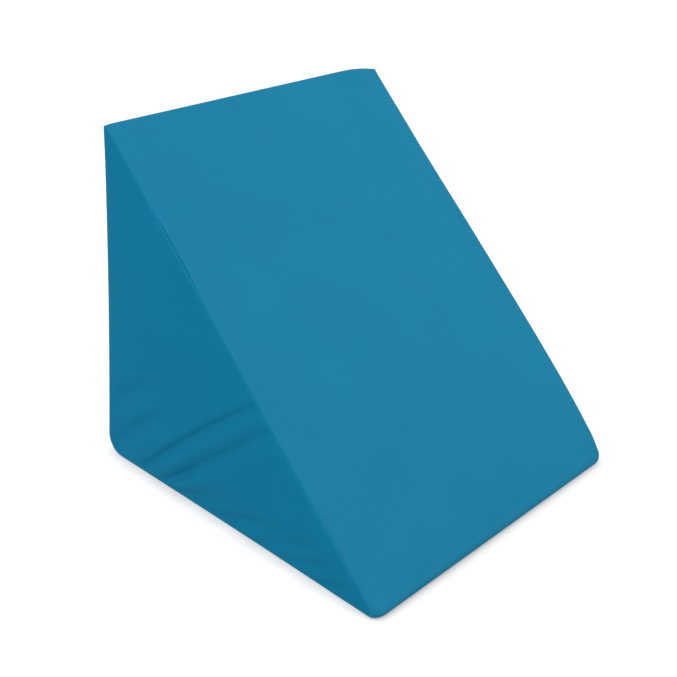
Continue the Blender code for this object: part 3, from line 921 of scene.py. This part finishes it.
# %% [markdown]
# ## Floor and backdrop
#
# The photograph has a pure white ground with a short, soft shadow where the pillow stands. A white floor
# lit by lamps shades off slowly, so this one also glows, which lifts it to white. An Ambient Occlusion node
# takes the glow away within a few centimetres of the pillow, and that gives the short shadow. It is longer
# and darker in front of the toe than beside the ends, so both numbers change there. The glow is hidden from
# the pillow itself, or it would light the cloth from below. A white dome closes the view from any side.

# %% Stage material
def stage_material(name, colour, glow):
    """A plain matt surface that also glows."""
    material = bpy.data.materials.new(name)
    material.use_nodes = True
    shader = material.node_tree.nodes["Principled BSDF"]
    shader.inputs["Base Color"].default_value = (*colour, 1)
    shader.inputs["Roughness"].default_value = 0.9
    shader.inputs["Specular IOR Level"].default_value = 0.0
    shader.inputs["Emission Color"].default_value = (1, 1, 1, 1)
    shader.inputs["Emission Strength"].default_value = glow
    return material


# %% Floor
STAGE_RADIUS = 12
FLOOR_GREY, FLOOR_GLOW, FLOOR_DROP = (0.3, 0.3, 0.3), 0.86, 0.2 * MM
SHADOW_REACH, SHADOW_DEPTH = 0.017, 0.40  # beside the ends
TOE_SHADOW_REACH, TOE_SHADOW_DEPTH = 0.040, 0.84  # in front of the toe
CHANGE_STARTS, CHANGE_ENDS = -BACK + 0.020, -BACK - 0.005  # where one turns into the other, in Y

bpy.ops.mesh.primitive_circle_add(
    vertices=96, radius=STAGE_RADIUS, fill_type="NGON", location=(0, 0, -FLOOR_DROP)
)
floor = bpy.context.object
floor.name = "studio_floor"
floor_paper = stage_material("white_floor", FLOOR_GREY, FLOOR_GLOW)
floor.data.materials.append(floor_paper)
nodes, links = floor_paper.node_tree.nodes, floor_paper.node_tree.links
nearness = nodes.new("ShaderNodeAmbientOcclusion")
nearness.samples = 16
place = nodes.new("ShaderNodeTexCoord")
split = nodes.new("ShaderNodeSeparateXYZ")
links.new(place.outputs["Object"], split.inputs["Vector"])


def towards_toe(beside_ends, before_toe):
    """A number that is one value beside the pillow's ends and the other in front of its toe."""
    change = nodes.new("ShaderNodeMapRange")
    change.inputs["From Min"].default_value = CHANGE_STARTS
    change.inputs["From Max"].default_value = CHANGE_ENDS
    change.inputs["To Min"].default_value = beside_ends
    change.inputs["To Max"].default_value = before_toe
    links.new(split.outputs["Y"], change.inputs["Value"])
    return change.outputs["Result"]


hidden = nodes.new("ShaderNodeMath")
hidden.operation = "SUBTRACT"
hidden.inputs[0].default_value = 1.0
glow = nodes.new("ShaderNodeMath")
glow.operation = "MULTIPLY_ADD"
glow.inputs[2].default_value = FLOOR_GLOW
glow.use_clamp = True
links.new(towards_toe(SHADOW_REACH, TOE_SHADOW_REACH), nearness.inputs["Distance"])
links.new(nearness.outputs["AO"], hidden.inputs[1])
links.new(hidden.outputs["Value"], glow.inputs[0])
links.new(towards_toe(-SHADOW_DEPTH, -TOE_SHADOW_DEPTH), glow.inputs[1])
links.new(glow.outputs["Value"], nodes["Principled BSDF"].inputs["Emission Strength"])
print("floor", 2 * STAGE_RADIUS, "m wide")

# %% Backdrop
bpy.ops.mesh.primitive_uv_sphere_add(segments=64, ring_count=32, radius=STAGE_RADIUS, location=(0, 0, 0))
dome = bpy.context.object
dome.name = "studio_backdrop"
dome.data.materials.append(stage_material("white_backdrop", (0, 0, 0), 1.0))
for thing in (floor, dome):
    thing.visible_diffuse = thing.visible_glossy = thing.visible_shadow = False
    print("stage:", thing.name)

# %% [markdown]
# ## Light
#
# The slope is evenly bright and the side panel about a fifth darker, so most of the light comes from all
# round. The world gives that, brighter from above than from below. A big soft lamp stands high before the
# slope, nearer to the ridge than to the toe, so the slope fades slightly downwards. Another, low on the
# left, models the creases of the side panel.

# %% Light from all round
SKY, GROUND = 0.60, 0.45
HORIZON_BLEND = 0.5  # how far above and below the horizon the one turns into the other

world = bpy.data.worlds.new("studio")
world.use_nodes = True
scene.world = world
nodes, links = world.node_tree.nodes, world.node_tree.links
background = nodes["Background"]
background.inputs["Color"].default_value = (1, 1, 1, 1)
direction = nodes.new("ShaderNodeTexCoord")
split = nodes.new("ShaderNodeSeparateXYZ")
height = nodes.new("ShaderNodeMapRange")
height.interpolation_type = "SMOOTHSTEP"
height.inputs["From Min"].default_value = -HORIZON_BLEND
height.inputs["From Max"].default_value = HORIZON_BLEND
height.inputs["To Min"].default_value = GROUND
height.inputs["To Max"].default_value = SKY
links.new(direction.outputs["Generated"], split.inputs["Vector"])
links.new(split.outputs["Z"], height.inputs["Value"])
links.new(height.outputs["Result"], background.inputs["Strength"])
print("world from", GROUND, "below to", SKY, "above")


# %% Lamps
def soft_lamp(name, place, aim, size, power):
    """A round area lamp that looks at a point. Its size is in metres and its power in watts."""
    data = bpy.data.lights.new(name, "AREA")
    data.shape = "DISK"
    data.size = size
    data.energy = power
    lamp = bpy.data.objects.new(name, data)
    lamp.location = place
    lamp.rotation_euler = (Vector(aim) - Vector(place)).to_track_quat("-Z", "Y").to_euler()
    scene.collection.objects.link(lamp)
    print(name, power, "W")


soft_lamp("lamp_before_slope", place=(0.9, -1.3, 2.6), aim=(0.0, 0.0, 0.2), size=1.4, power=32)
soft_lamp("lamp_left", place=(-1.9, 0.35, 0.62), aim=(-0.25, 0.05, 0.12), size=0.9, power=8.3)
scene.view_settings.view_transform = "Standard"

# %% [markdown]
# ## Hand over
#
# Each piece now takes the place of the solid that it dresses. Nothing moves on a filled pillow, so all
# three ride on the root. The wrap is one padded piece, full almost to its cover, and each side panel is a
# sheet of a known flat size, stretched over the wrap's end.

# %% Hand over
for piece in (wrap, left_side, right_side):
    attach(piece, "root")
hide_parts("wrap_cushion")
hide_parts("side_panel_left")
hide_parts("side_panel_right")
